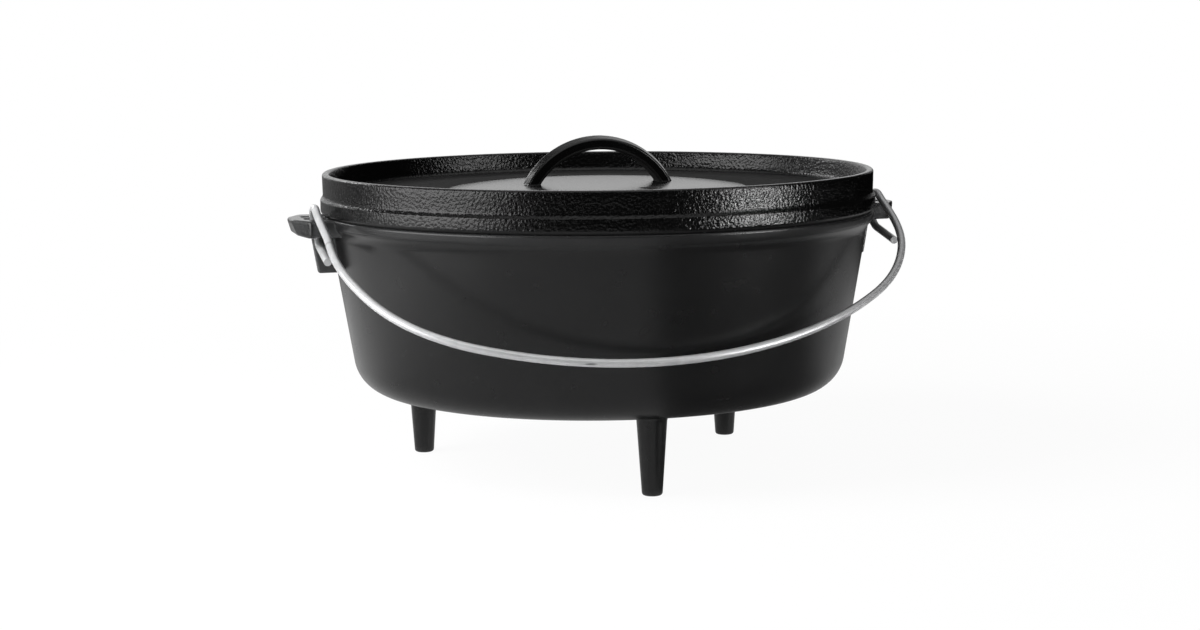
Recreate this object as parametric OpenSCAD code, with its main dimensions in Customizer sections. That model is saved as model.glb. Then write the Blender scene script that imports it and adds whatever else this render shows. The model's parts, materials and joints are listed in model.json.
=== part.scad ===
// Camp dutch oven: a three-legged cast-iron pot, a lipped lid that holds coals and a wire bail.
// Millimetres. The origin is on the floor under the middle of the pot, +Z is up,
// the ears lie on the X axis and the front leg stands towards -Y.

/* [Pot] */
// Outer radius of the thickened rim band
pot_rim_r = 161; // [140:0.5:190]
// Height of the pot from its underside to the top of its rim
pot_h = 104; // [80:1:130]
// Lean of the wall from upright, in degrees
wall_draft = 9.5; // [4:0.5:14]
// Thickness of the side wall
wall_t = 4.2; // [3.6:0.1:7]
// Thickness of the bottom
floor_t = 4.6; // [4:0.1:8]
// Outer radius where the wall turns into the bottom
corner_r = 21; // [14:0.5:32]
// How far the rim band stands out from the wall
rim_proud = 3; // [0.8:0.1:4]
// Height of the upright rim band
rim_band_h = 5.5; // [4:0.1:9]
// Height of the slope from the rim band down to the wall
rim_slope_h = 4; // [2:0.1:8]

/* [Legs] */
// Height of the pot's underside above the floor
leg_h = 45; // [30:1:60]
// How far the legs' roots are set in from where the bottom starts to turn up
leg_inset = 1.5; // [0.2:0.1:20]
// Width of a leg at the foot
foot_d = 11.4; // [9:0.2:14]
// Width of a leg under its root fillet
leg_top_d = 17.4; // [15:0.2:20]
// Radius of the fillet that joins a leg to the pot
leg_fillet_r = 2.6; // [1:0.1:4]
// Radius of the rounded edge of a foot
foot_edge_r = 1.6; // [0.6:0.1:2.4]

/* [Lid] */
// How far the lid's flange overhangs the pot's rim
lid_overhang = 0.3; // [0:0.1:3]
// Height of the flange that sits on the pot's rim
flange_h = 8.8; // [7:0.1:12]
// Height of the coal lip above the flange
lip_h = 14.4; // [10:0.1:20]
// How far the coal lip is set in from the flange
lip_inset = 1.2; // [0.6:0.1:3]
// Thickness of the coal lip at its top
lip_t = 3.8; // [3:0.1:6]
// How far the inside of the lip leans inwards from its top to its root
lip_lean = 3.2; // [1:0.1:6]
// Thickness of the lid's plate
plate_t = 4.6; // [4:0.1:8]
// Depth of the moat inside the lip, measured from the lip's top
moat_depth = 12; // [9:0.1:13]
// Rise of the flat middle of the plate above the moat
plateau_rise = 4; // [3:0.1:6]
// Radius where the rounded shoulder of the plate's middle ends
dome_r = 88; // [75:1:92]
// Rise of the flat band around the shoulder above the moat
band_rise = 0.8; // [0.3:0.1:1.8]
// Radius of the flat band around the shoulder
band_r = 112; // [98:1:120]
// Depth of the ring that keeps the lid centred in the pot
ring_depth = 5.6; // [4:0.1:9]
// Thickness of the centring ring
ring_t = 3.4; // [2.5:0.1:5]
// Gap between the centring ring and the pot's wall
ring_gap = 1.4; // [0.8:0.1:3]
// Width of the cast dimple beside the handle
dimple_d = 10.5; // [6:0.5:16]
// Depth of the cast dimple
dimple_depth = 1.4; // [0.5:0.1:2.5]
// Distance of the cast dimple from the middle of the lid
dimple_off = 52; // [20:1:70]
// Angle of the cast dimple around the lid, from the right-hand ear
dimple_turn = -70; // [-150:1:-30]

/* [Lid handle] */
// Distance between the outsides of the handle's feet
handle_span = 90; // [70:1:110]
// Height of the handle above the plate
handle_rise = 27.5; // [24:0.5:36]
// Thickness of the handle's bar in the middle of its width
handle_t = 8; // [7:0.1:11]
// Width of the handle's bar, across the arch
handle_w = 14; // [11:0.5:18]
// Slope of the bar's outside from the middle of its width to its two faces
handle_draft = 16; // [6:1:18]
// Radius of the handle's rounded edges
handle_edge_r = 1.2; // [0.8:0.1:2]

/* [Ears] */
// How far an ear reaches out from the pot's rim
ear_reach = 20.3; // [19:0.1:28]
// Thickness of an ear, top to bottom
ear_h = 9.8; // [8:0.1:13]
// Width of the limb that the bail's eye turns on
limb_w = 14.5; // [12:0.5:20]
// Radius of the limb's rounded edges
limb_edge_r = 2; // [1:0.1:3]
// Thickness of the bar at the outer end of an ear
ear_bar_t = 8.4; // [6:0.1:11]
// Width of an ear at its tip
ear_tip_w = 16; // [12:0.5:24]
// How far the tip's underside is cut back from its top
ear_tip_slant = 3; // [0:0.1:5]
// Thickness of the rib in the middle of an ear
rib_t = 5.4; // [4:0.1:8]
// How far the rib reaches down below the ear
rib_drop = 22; // [12:0.5:30]
// How far the rib stands out from the pot's wall below the ear
rib_proud = 12.5; // [7:0.5:14]

/* [Bail] */
// Diameter of the bail's wire
wire_d = 4.5; // [3.5:0.1:6]
// Gap between an eye and the edges of the limb that it turns on
eye_gap = 0.5; // [0.5:0.1:1]
// Gap between an eye and the rib behind it
eye_rib_gap = 1.8; // [1:0.1:3]
// Length of the straight tail that closes an eye
tail_len = 29; // [20:1:40]
// How far an eye's tail turns in towards the arm, in degrees
tail_turn = 17; // [10:1:30]
// Gap between an arm of the bail and the lid's flange
arm_gap = 5.3; // [2:0.1:8]
// Gap between the bow and the lid's flange when the bail is held level
bow_gap = 7.7; // [4:0.1:20]
// Radius of the bends between the arms and the bow
bow_corner_r = 111.5; // [70:0.5:116]
// How much larger the bow's radius is than half the bail's width
bow_flatness = 51; // [35:0.5:70]
// How far the hand-bent bow's lowest point lies to one side
bow_shift = -14.2; // [-18:0.2:18]
// Angle of the resting bail below level, in degrees
rest_angle = 28; // [20:0.5:31]

/* [Hidden] */
$fn = 96;
arc_steps = 8;
cut = 40;

rim_z = leg_h + pot_h;
wall_top_r = pot_rim_r - rim_proud;
draft_tan = tan(wall_draft);
wall_across = wall_t / cos(wall_draft);
inner_corner_r = corner_r - wall_t;
bottom_r = wall_r(leg_h + corner_r) - corner_r / cos(wall_draft);
leg_root_r = leg_top_d / 2 + leg_fillet_r;
leg_circle_r = bottom_r - leg_root_r - leg_inset;

flange_r = pot_rim_r + lid_overhang;
flange_edge = 0.9;
step_z = rim_z + flange_h;
lip_r = flange_r - lip_inset;
lip_z = step_z + lip_h;
lip_edge = 1.4;
lip_in_r = lip_r - lip_t;
lip_root_r = lip_in_r - lip_lean;
moat_z = lip_z - moat_depth;
moat_fillet_r = 2.4;
plateau_z = moat_z + plateau_rise;
plateau_r = handle_span / 2 + 3;
band_z = moat_z + band_rise;
dome_run = dome_r - plateau_r;
dome_drop = plateau_z - band_z;
dome_curve_r = (dome_run * dome_run + dome_drop * dome_drop) / (2 * dome_drop);
dome_turn = asin(dome_run / dome_curve_r);
ring_out_r = inner_wall_r(rim_z - ring_depth) - ring_gap;
ring_in_r = ring_out_r - ring_t;
plate_r = min(ring_in_r, lip_root_r - moat_fillet_r) - 0.6;
moat_r = band_r + 14;

handle_r = (handle_span * handle_span / 4 + handle_rise * handle_rise) / (2 * handle_rise);
handle_z = plateau_z + handle_rise - handle_r;

wire_r = wire_d / 2;
ball_r = wire_r + 0.2;
seam = 0.3;
limb_reach = norm([limb_w / 2 - limb_edge_r, ear_h / 2 - limb_edge_r]) + limb_edge_r;
eye_r = limb_reach + eye_gap + wire_r;
slot_w = eye_r + wire_r - limb_w / 2 + eye_rib_gap;
hinge_y = -(rib_t / 2 + slot_w + limb_w / 2);
hinge_z = rim_z - ear_h / 2;
arm_x = flange_r + arm_gap + wire_r;
ear_half_w = rib_t / 2 + slot_w + limb_w;
ear_tip_x = pot_rim_r + ear_reach;
ear_bar_x = max(ear_tip_x - ear_bar_t, arm_x + wire_r + 1.5);
ear_shoulder_x = arm_x + wire_r + 1.2;
eye_sweep = 180 + tail_turn;

bow_reach = flange_r + bow_gap + wire_r + hinge_y;
bow_r = arm_x + bow_flatness;
bow_y = bow_reach - bow_r;
bend_span = bow_r - bow_corner_r;
left_bend_x = -(arm_x - bow_corner_r);
right_bend_x = arm_x - bow_corner_r;
left_bend_y = bow_y + sqrt(bend_span * bend_span - pow(left_bend_x - bow_shift, 2));
right_bend_y = bow_y + sqrt(bend_span * bend_span - pow(right_bend_x - bow_shift, 2));
left_turn = atan2(left_bend_y - bow_y, left_bend_x - bow_shift);
right_turn = atan2(right_bend_y - bow_y, right_bend_x - bow_shift);

// Outer radius of the pot's plain wall at height z.
function wall_r(z) = wall_top_r - (rim_z - z) * draft_tan;

// Inner radius of the pot's wall at height z.
function inner_wall_r(z) = wall_r(z) - wall_across;

// Points of an arc about (x, y), from one angle to another.
function arc(x, y, r, from, to) =
    [for (i = [0 : arc_steps]) let (a = from + (to - from) * i / arc_steps) [x + r * cos(a), y + r * sin(a)]];

// Outside of the pot from the middle of its underside to the top of its rim.
function pot_outside() = concat(
    [[0, leg_h]],
    arc(bottom_r, leg_h + corner_r, corner_r, -90, -wall_draft),
    [
        [wall_r(rim_z - rim_band_h - rim_slope_h), rim_z - rim_band_h - rim_slope_h],
        [pot_rim_r, rim_z - rim_band_h],
        [pot_rim_r, rim_z - 0.8],
        [pot_rim_r - 0.8, rim_z]
    ]
);

// Inside of the pot from the top of its rim to the middle of its bottom.
function pot_inside() = let (z = leg_h + floor_t + inner_corner_r) concat(
    [[inner_wall_r(rim_z), rim_z]],
    arc(inner_wall_r(z) - inner_corner_r / cos(wall_draft), z, inner_corner_r, -wall_draft, -90),
    [[0, leg_h + floor_t]]
);

// Height of the plate's middle or its shoulder at distance r from the axis.
function plate_top(r) = let (out = max(0, r - plateau_r))
    plateau_z - dome_curve_r + sqrt(dome_curve_r * dome_curve_r - out * out);

// Points of a bar's section whose outside slopes down from the middle of its width to its faces.
function drafted(t, w, draft, r) = let (
    y = w / 2 - r,
    x = t / 2 - (r + y * sin(draft)) / cos(draft)
) concat(
    [[t / 2, 0]],
    arc(x, y, r, draft, 90),
    arc(r - t / 2, y, r, 90, 180),
    arc(r - t / 2, -y, r, 180, 270),
    arc(x, -y, r, 270, 360 - draft)
);

// Points of a rectangle with rounded corners, centred on the origin.
function rounded(w, h, r) = concat(
    arc(w / 2 - r, h / 2 - r, r, 0, 90),
    arc(r - w / 2, h / 2 - r, r, 90, 180),
    arc(r - w / 2, r - h / 2, r, 180, 270),
    arc(w / 2 - r, r - h / 2, r, 270, 360)
);

// The pot as a solid block, taken away from what is cast onto it.
module pot_block() {
    rotate_extrude()
        polygon(concat(pot_outside(), [[0, rim_z]]));
}

// Bowl of the pot with its rim band.
module pot_shell() {
    color("#26272a")
        rotate_extrude()
            polygon(concat(pot_outside(), pot_inside()));
}

// One leg under the pot, at an angle around it.
module leg(turn) {
    color("#2a2b2e")
        rotate([0, 0, turn])
            translate([leg_circle_r, 0, 0])
                rotate_extrude()
                    polygon(concat(
                        [[0, 0]],
                        arc(foot_d / 2 - foot_edge_r, foot_edge_r, foot_edge_r, -90, 0),
                        arc(leg_root_r, leg_h - leg_fillet_r, leg_fillet_r, 180, 90),
                        [[0, leg_h]]
                    ));
}

module leg_front() {
    leg(-90);
}

module leg_rear_left() {
    leg(150);
}

module leg_rear_right() {
    leg(30);
}

// A limb of an ear, running out along X with rounded edges.
module ear_limb(y) {
    translate([pot_rim_r - cut, y, hinge_z])
        rotate([90, 0, 90])
            linear_extrude(ear_bar_x - pot_rim_r + cut + 0.5)
                polygon(rounded(limb_w, ear_h, limb_edge_r));
}

// Outline of an ear from above, with its sides drawn in towards the tip.
module ear_outline() {
    linear_extrude(rim_z + cut)
        polygon([
            [0, -ear_half_w],
            [ear_shoulder_x, -ear_half_w],
            [ear_tip_x, -ear_tip_w / 2],
            [ear_tip_x, ear_tip_w / 2],
            [ear_shoulder_x, ear_half_w],
            [0, ear_half_w]
        ]);
}

// Upright plate in the XZ plane, t thick and centred on it.
module upright(t) {
    rotate([90, 0, 0])
        linear_extrude(t, center = true)
            children();
}

// Ear on the +X side: two limbs, the bar across their ends and the rib between them.
module ear() {
    low = rim_z - ear_h;
    rib_low = low - rib_drop;
    difference() {
        union() {
            intersection() {
                ear_outline();
                union() {
                    ear_limb(hinge_y);
                    ear_limb(-hinge_y);
                    upright(2 * ear_half_w)
                        polygon([
                            [ear_bar_x, low],
                            [ear_tip_x - ear_tip_slant, low + 1],
                            [ear_tip_x, rim_z - 1],
                            [ear_tip_x - 1, rim_z],
                            [ear_bar_x, rim_z]
                        ]);
                }
            }
            upright(rib_t)
                polygon([
                    [pot_rim_r - cut, rib_low],
                    [wall_r(rib_low) + rib_proud, rib_low],
                    [wall_r(low) + rib_proud, low],
                    [ear_bar_x + 1, low],
                    [ear_bar_x + 1, rim_z],
                    [pot_rim_r - cut, rim_z]
                ]);
        }
        pot_block();
    }
}

module ear_right() {
    color("#2a2b2e")
        ear();
}

module ear_left() {
    color("#2a2b2e")
        mirror([1, 0, 0])
            ear();
}

// Plate of the lid inside the rim: flat middle, rounded shoulder, flat band, slope and moat.
module lid_plate() {
    color("#303134")
        difference() {
            rotate_extrude()
                polygon(concat(
                    [[0, plateau_z - plate_t]],
                    arc(plateau_r, plateau_z - dome_curve_r, dome_curve_r - plate_t, 90, 90 - dome_turn),
                    [
                        [moat_r, moat_z - plate_t],
                        [plate_r, moat_z - plate_t],
                        [plate_r, moat_z],
                        [moat_r, moat_z],
                        [band_r, band_z]
                    ],
                    arc(plateau_r, plateau_z - dome_curve_r, dome_curve_r, 90 - dome_turn, 90),
                    [[0, plateau_z]]
                ));
            rotate([0, 0, dimple_turn])
                translate([dimple_off, 0, plate_top(dimple_off) - dimple_depth])
                    cylinder(h = 2 * dimple_depth, d = dimple_d);
        }
}

// Rim of the lid: the flange on the pot, the coal lip above it and the centring ring below it.
module lid_rim() {
    color("#303134")
        rotate_extrude()
            polygon(concat(
                [
                    [plate_r, moat_z - plate_t],
                    [ring_in_r, moat_z - plate_t],
                    [ring_in_r, rim_z - ring_depth],
                    [ring_out_r, rim_z - ring_depth],
                    [ring_out_r, rim_z],
                    [flange_r - flange_edge, rim_z],
                    [flange_r, rim_z + flange_edge],
                    [flange_r, step_z - flange_edge],
                    [flange_r - flange_edge, step_z]
                ],
                arc(lip_r - lip_edge, lip_z - lip_edge, lip_edge, 0, 90),
                arc(lip_in_r + lip_edge, lip_z - lip_edge, lip_edge, 90, 180),
                arc(lip_root_r - moat_fillet_r, moat_z + moat_fillet_r, moat_fillet_r, 0, -90),
                [[plate_r, moat_z]]
            ));
}

// Arched lid handle, cut off where it meets the plate.
module lid_handle() {
    color("#2a2b2e")
        intersection() {
            translate([0, 0, handle_z])
                rotate([90, 0, 0])
                    rotate_extrude()
                        translate([handle_r - handle_t / 2, 0])
                            polygon(drafted(handle_t, handle_w, handle_draft, handle_edge_r));
            translate([-handle_span, -handle_w, plateau_z])
                cube([2 * handle_span, 2 * handle_w, 2 * handle_rise]);
        }
}

// A ball that carries the wire from one stretch to the next, with its poles on the wire's line.
module wire_ball(at, turn = 0) {
    translate(at)
        rotate([90, 0, turn])
            sphere(ball_r);
}

// A bend of the wire of radius r about the local Z axis.
module wire_bend(r, from, to) {
    trim = seam / r * 180 / PI;
    rotate([0, 0, from + trim])
        rotate_extrude(angle = to - from - 2 * trim)
            translate([r, 0])
                circle(wire_r);
}

// A straight stretch of the wire along the local Y axis.
module wire_run(length) {
    translate([0, seam, 0])
        rotate([-90, 0, 0])
            cylinder(h = length - seam, r = wire_r);
}

// One arm of the bail: the straight wire, the eye around the ear's limb and the eye's tail.
module bail_arm(x, length) {
    translate([x, 0, 0]) {
        translate([0, 0, -eye_r])
            wire_run(length - seam);
        wire_ball([0, 0, -eye_r]);
        wire_ball([0, length, -eye_r]);
        rotate([0, 90, 0])
            rotate([0, 0, -eye_sweep]) {
                wire_bend(eye_r, 0, eye_sweep);
                wire_ball([eye_r, 0, 0]);
                translate([eye_r, 0, 0])
                    rotate([0, 0, 180])
                        wire_run(tail_len);
            }
    }
}

// The bail is one wire: two arms with eyes, two bends and the bow between them.
module bail() {
    color("#b9bcc0")
        translate([0, hinge_y, hinge_z])
            rotate([180 + rest_angle, 0, 0]) {
                bail_arm(-arm_x, left_bend_y);
                bail_arm(arm_x, right_bend_y);
                translate([0, 0, -eye_r]) {
                    translate([left_bend_x, left_bend_y, 0])
                        wire_bend(bow_corner_r, left_turn, 180);
                    translate([right_bend_x, right_bend_y, 0])
                        wire_bend(bow_corner_r, 0, right_turn);
                    translate([bow_shift, bow_y, 0]) {
                        wire_bend(bow_r, right_turn, left_turn);
                        wire_ball(bow_r * [cos(left_turn), sin(left_turn), 0], left_turn);
                        wire_ball(bow_r * [cos(right_turn), sin(right_turn), 0], right_turn);
                    }
                }
            }
}

pot_shell();
ear_left();
ear_right();
leg_front();
leg_rear_left();
leg_rear_right();
lid_plate();
lid_rim();
lid_handle();
bail();
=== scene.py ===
"""Dresses the camp dutch oven: pot casting, lid casting and wire bail, in a pale studio."""

import json
import logging
import math
from dataclasses import dataclass
from enum import Enum
from typing import Callable

import bmesh
import bpy
import numpy as np
from mathutils import Matrix, Vector


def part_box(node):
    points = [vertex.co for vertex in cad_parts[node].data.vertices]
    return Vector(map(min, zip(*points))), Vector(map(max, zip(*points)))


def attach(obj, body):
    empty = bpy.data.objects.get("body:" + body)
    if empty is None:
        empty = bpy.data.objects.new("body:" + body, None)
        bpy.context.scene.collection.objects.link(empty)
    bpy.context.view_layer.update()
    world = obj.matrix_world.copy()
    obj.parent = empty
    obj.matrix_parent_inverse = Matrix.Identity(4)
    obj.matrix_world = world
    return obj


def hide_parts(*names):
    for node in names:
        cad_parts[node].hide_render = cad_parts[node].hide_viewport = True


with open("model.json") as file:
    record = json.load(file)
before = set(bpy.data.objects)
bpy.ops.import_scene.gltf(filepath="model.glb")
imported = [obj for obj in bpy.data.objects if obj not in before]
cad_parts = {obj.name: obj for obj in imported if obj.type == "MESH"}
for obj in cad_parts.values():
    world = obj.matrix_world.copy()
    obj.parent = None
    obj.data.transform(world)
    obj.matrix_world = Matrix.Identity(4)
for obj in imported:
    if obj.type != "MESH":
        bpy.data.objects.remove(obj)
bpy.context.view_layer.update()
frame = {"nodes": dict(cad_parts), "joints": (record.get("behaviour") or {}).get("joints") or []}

LOG = logging.getLogger("dutch_oven")
MM = 0.001
# Closer points of a CAD node are one, in millimetres
SAME_POINT = 0.002
# Steps in a bar's rounded edge, and cuts in each of its stretches
EDGE_STEPS = 3
SIDE_CUTS = 7

Corner = tuple[float, float, float]
Points = list[tuple[float, float]]
Edge = tuple[float, float]


class Body(Enum):
    """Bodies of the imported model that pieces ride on."""

    POT = "pot"
    LID = "lid"
    BAIL = "bail"


class Slot(Enum):
    """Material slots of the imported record."""

    POT_IRON = "pot_iron"
    LID_IRON = "lid_iron"
    BAIL_WIRE = "bail_wire"


# Meshes


def new_object(name: str, mesh: bpy.types.Mesh) -> bpy.types.Object:
    """Links a mesh to the scene as an object at the origin.

    Args:
        name: Name of the piece.
        mesh: Mesh with its place in its vertices.

    Returns:
        The new object.
    """
    obj = bpy.data.objects.new(name, mesh)
    bpy.context.scene.collection.objects.link(obj)
    return obj


def mesh_from(name: str, verts: np.ndarray, faces: list[tuple[int, ...]]) -> bpy.types.Mesh:
    """Makes a mesh from points in millimetres, with its faces turned outwards.

    Args:
        name: Name of the mesh.
        verts: Points in millimetres, one row each.
        faces: Corner numbers of each face.

    Returns:
        The mesh, in metres.
    """
    mesh = bpy.data.meshes.new(name)
    mesh.from_pydata((np.asarray(verts, float) * MM).tolist(), [], faces)
    turn_outwards(mesh)
    return mesh


def turn_outwards(mesh: bpy.types.Mesh) -> None:
    """Recalculates the normals of a closed mesh and shades it smooth.

    Args:
        mesh: Closed mesh to turn.
    """
    work = bmesh.new()
    work.from_mesh(mesh)
    bmesh.ops.recalc_face_normals(work, faces=work.faces)
    for face in work.faces:
        face.smooth = True
    work.to_mesh(mesh)
    work.free()


def rounded_path(corners: list[Corner], steps: int = 8) -> Points:
    """Rounds the corners of an open path.

    Args:
        corners: Each corner's radius from the axis, its height and its rounding, in millimetres.
        steps: Stretches in each rounded corner.

    Returns:
        Points of the rounded path.
    """
    path: Points = [corners[0][:2]]
    for before, here, after in zip(corners, corners[1:], corners[2:]):
        corner = Vector(here[:2])
        back = (Vector(before[:2]) - corner).normalized()
        ahead = (Vector(after[:2]) - corner).normalized()
        turn = math.pi - back.angle(ahead)
        if here[2] <= 0 or turn < 1e-3:
            path.append(here[:2])
            continue
        reach = here[2] * math.tan(turn / 2)
        middle = corner + (back + ahead).normalized() * (here[2] / math.cos(turn / 2))
        start = corner + back * reach - middle
        stop = corner + ahead * reach - middle
        for i in range(steps + 1):
            t = i / steps
            arm = (start * math.sin((1 - t) * turn) + stop * math.sin(t * turn)) / math.sin(turn)
            path.append(tuple(middle + arm))
    path.append(corners[-1][:2])
    return path


def refined(path: Points, longest: float) -> Points:
    """Splits the long stretches of a path.

    Args:
        path: Points of the path.
        longest: Longest stretch that stays whole, in millimetres.

    Returns:
        Points of the same path, closer together.
    """
    out: Points = [path[0]]
    for a, b in zip(path, path[1:]):
        count = max(1, math.ceil(math.dist(a, b) / longest))
        for i in range(1, count + 1):
            t = i / count
            out.append((a[0] + (b[0] - a[0]) * t, a[1] + (b[1] - a[1]) * t))
    return out


def revolved(name: str, path: Points, segments: int) -> bpy.types.Mesh:
    """Turns a path that starts and ends on the axis into a closed mesh.

    Args:
        name: Name of the mesh.
        path: Radius and height of each point, in millimetres.
        segments: Steps around the axis.

    Returns:
        The closed mesh.
    """
    inner = np.array(path[1:-1])
    angles = np.arange(segments) * (2 * math.pi / segments)
    rings = np.stack([
        inner[:, 0, None] * np.cos(angles),
        inner[:, 0, None] * np.sin(angles),
        np.repeat(inner[:, 1, None], segments, axis=1),
    ], axis=-1).reshape(-1, 3)
    verts = np.vstack([rings, [[0, 0, path[0][1]], [0, 0, path[-1][1]]]])
    first, last = len(rings), len(rings) + 1
    top = (len(inner) - 1) * segments
    faces: list[tuple[int, ...]] = []
    for j in range(segments):
        k = (j + 1) % segments
        faces.append((first, j, k))
        faces.append((last, top + k, top + j))
        for i in range(len(inner) - 1):
            low, high = i * segments, (i + 1) * segments
            faces.append((low + j, high + j, high + k, low + k))
    return mesh_from(name, verts, faces)


def points_of(mesh: bpy.types.Mesh) -> np.ndarray:
    """Gives a mesh's points in millimetres.

    Args:
        mesh: Mesh to read.

    Returns:
        One row for each point.
    """
    flat = np.zeros(len(mesh.vertices) * 3)
    mesh.vertices.foreach_get("co", flat)
    return flat.reshape(-1, 3) / MM


def move_points(mesh: bpy.types.Mesh, points: np.ndarray) -> None:
    """Puts a mesh's points at new places.

    Args:
        mesh: Mesh to change.
        points: New places in millimetres, one row each.
    """
    mesh.vertices.foreach_set("co", (points * MM).ravel())
    mesh.update()


def paint(mesh: bpy.types.Mesh, name: str, values: np.ndarray) -> None:
    """Stores one number for each point of a mesh, for its material to read.

    Args:
        mesh: Mesh that carries the numbers.
        name: Name of the attribute.
        values: One number for each point.
    """
    layer = mesh.attributes.new(name, "FLOAT", "POINT")
    layer.data.foreach_set("value", np.asarray(values, np.float32))


def merged_copy(node: str) -> bpy.types.Mesh:
    """Copies a CAD node's mesh and joins its loose triangles.

    Args:
        node: Name of the CAD node.

    Returns:
        The joined copy.
    """
    work = bmesh.new()
    work.from_mesh(frame["nodes"][node].data)
    bmesh.ops.remove_doubles(work, verts=work.verts, dist=SAME_POINT * MM)
    mesh = bpy.data.meshes.new(node + "_copy")
    work.to_mesh(mesh)
    work.free()
    return mesh


def joined(name: str, meshes: list[bpy.types.Mesh]) -> bpy.types.Mesh:
    """Puts several meshes into one.

    Args:
        name: Name of the new mesh.
        meshes: Meshes to put together; they are removed.

    Returns:
        The new mesh.
    """
    work = bmesh.new()
    for mesh in meshes:
        work.from_mesh(mesh)
    out = bpy.data.meshes.new(name)
    work.to_mesh(out)
    work.free()
    for mesh in meshes:
        bpy.data.meshes.remove(mesh)
    return out


def evaluated_mesh(obj: bpy.types.Object, name: str) -> bpy.types.Mesh:
    """Takes an object's mesh with its modifiers and removes the object.

    Args:
        obj: Object with modifiers; it is removed.
        name: Name of the new mesh.

    Returns:
        The plain mesh.
    """
    graph = bpy.context.evaluated_depsgraph_get()
    mesh = bpy.data.meshes.new_from_object(obj.evaluated_get(graph), depsgraph=graph)
    mesh.name = name
    old = obj.data
    obj.modifiers.clear()
    bpy.data.objects.remove(obj)
    bpy.data.meshes.remove(old)
    return mesh


def cast_together(mesh: bpy.types.Mesh, voxel: float, passes: int) -> bpy.types.Mesh:
    """Melts overlapping closed shells into one skin with rounded edges and filled corners.

    Args:
        mesh: Overlapping closed shells; it is removed.
        voxel: Size of the skin's cells, in millimetres.
        passes: Smoothing passes over the skin.

    Returns:
        The smooth closed skin.
    """
    name = mesh.name
    obj = new_object(name + "_work", mesh)
    remesh = obj.modifiers.new("skin", "REMESH")
    remesh.mode = "VOXEL"
    remesh.voxel_size = voxel * MM
    smooth = obj.modifiers.new("round", "SMOOTH")
    smooth.factor = 0.5
    smooth.iterations = passes
    out = evaluated_mesh(obj, name)
    turn_outwards(out)
    return out


def smooth_step(x: np.ndarray, low: float, high: float) -> np.ndarray:
    """Rises smoothly from 0 at low to 1 at high.

    Args:
        x: Numbers to place between the two.
        low: Where the rise starts.
        high: Where it ends.

    Returns:
        Numbers from 0 to 1.
    """
    t = np.clip((x - low) / (high - low), 0, 1)
    return t * t * (3 - 2 * t)


# Node trees


class Tree:
    """A node tree that is filled one node at a time."""

    def __init__(self, tree: bpy.types.NodeTree) -> None:
        """Keeps the tree to fill."""
        self.tree = tree

    def add(self, kind: str, inputs: dict | None = None, **settings: object) -> bpy.types.Node:
        """Adds a node.

        Args:
            kind: Blender's name of the node's type.
            inputs: Values or output sockets for its inputs, by name or number.
            **settings: Properties of the node.

        Returns:
            The new node.
        """
        node = self.tree.nodes.new(kind)
        for key, value in settings.items():
            setattr(node, key, value)
        for key, value in (inputs or {}).items():
            if isinstance(value, bpy.types.NodeSocket):
                self.tree.links.new(value, node.inputs[key])
            else:
                node.inputs[key].default_value = value
        return node

    def math(self, operation: str, *values: object) -> bpy.types.NodeSocket:
        """Adds a Math node.

        Args:
            operation: Name of the operation.
            *values: Numbers or sockets to work on.

        Returns:
            The result's socket.
        """
        return self.add("ShaderNodeMath", dict(enumerate(values)), operation=operation).outputs[0]

    def between(self, share: object, low: object, high: object) -> bpy.types.NodeSocket:
        """Adds a number that goes from low to high as share goes from 0 to 1.

        Args:
            share: Socket from 0 to 1.
            low: Number at 0.
            high: Number at 1.

        Returns:
            The result's socket.
        """
        inputs = {"Value": share, "To Min": low, "To Max": high}
        return self.add("ShaderNodeMapRange", inputs).outputs["Result"]

    def attribute(self, name: str) -> bpy.types.NodeSocket:
        """Adds the number that a mesh carries for each point under a name."""
        return self.add("ShaderNodeAttribute", attribute_name=name).outputs["Fac"]

    def noise(self, place: bpy.types.NodeSocket, size: float,
              detail: float) -> bpy.types.NodeSocket:
        """Adds a noise whose lumps are about size millimetres across.

        Args:
            place: Coordinates to read.
            size: Size of the lumps.
            detail: Finer layers in the noise.

        Returns:
            The noise's socket.
        """
        inputs = {"Vector": place, "Scale": 1 / (size * MM), "Detail": detail}
        return self.add("ShaderNodeTexNoise", inputs).outputs["Fac"]

    def tinted(self, tone: bpy.types.NodeSocket, green: float,
               blue: float) -> bpy.types.NodeSocket:
        """Adds a colour that is close to grey.

        Args:
            tone: Its red.
            green: Its green, as a share of the red.
            blue: Its blue, as a share of the red.

        Returns:
            The colour's socket.
        """
        return self.add(
            "ShaderNodeCombineColor",
            {"Red": tone, "Green": self.math("MULTIPLY", tone, green),
             "Blue": self.math("MULTIPLY", tone, blue)}).outputs[0]


def new_material(name: str) -> tuple[bpy.types.Material, Tree]:
    """Makes a material with an empty tree.

    Args:
        name: Name of the material.

    Returns:
        The material, and its tree to fill.
    """
    material = bpy.data.materials.new(name)
    material.use_nodes = True
    material.node_tree.nodes.clear()
    return material, Tree(material.node_tree)


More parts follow.
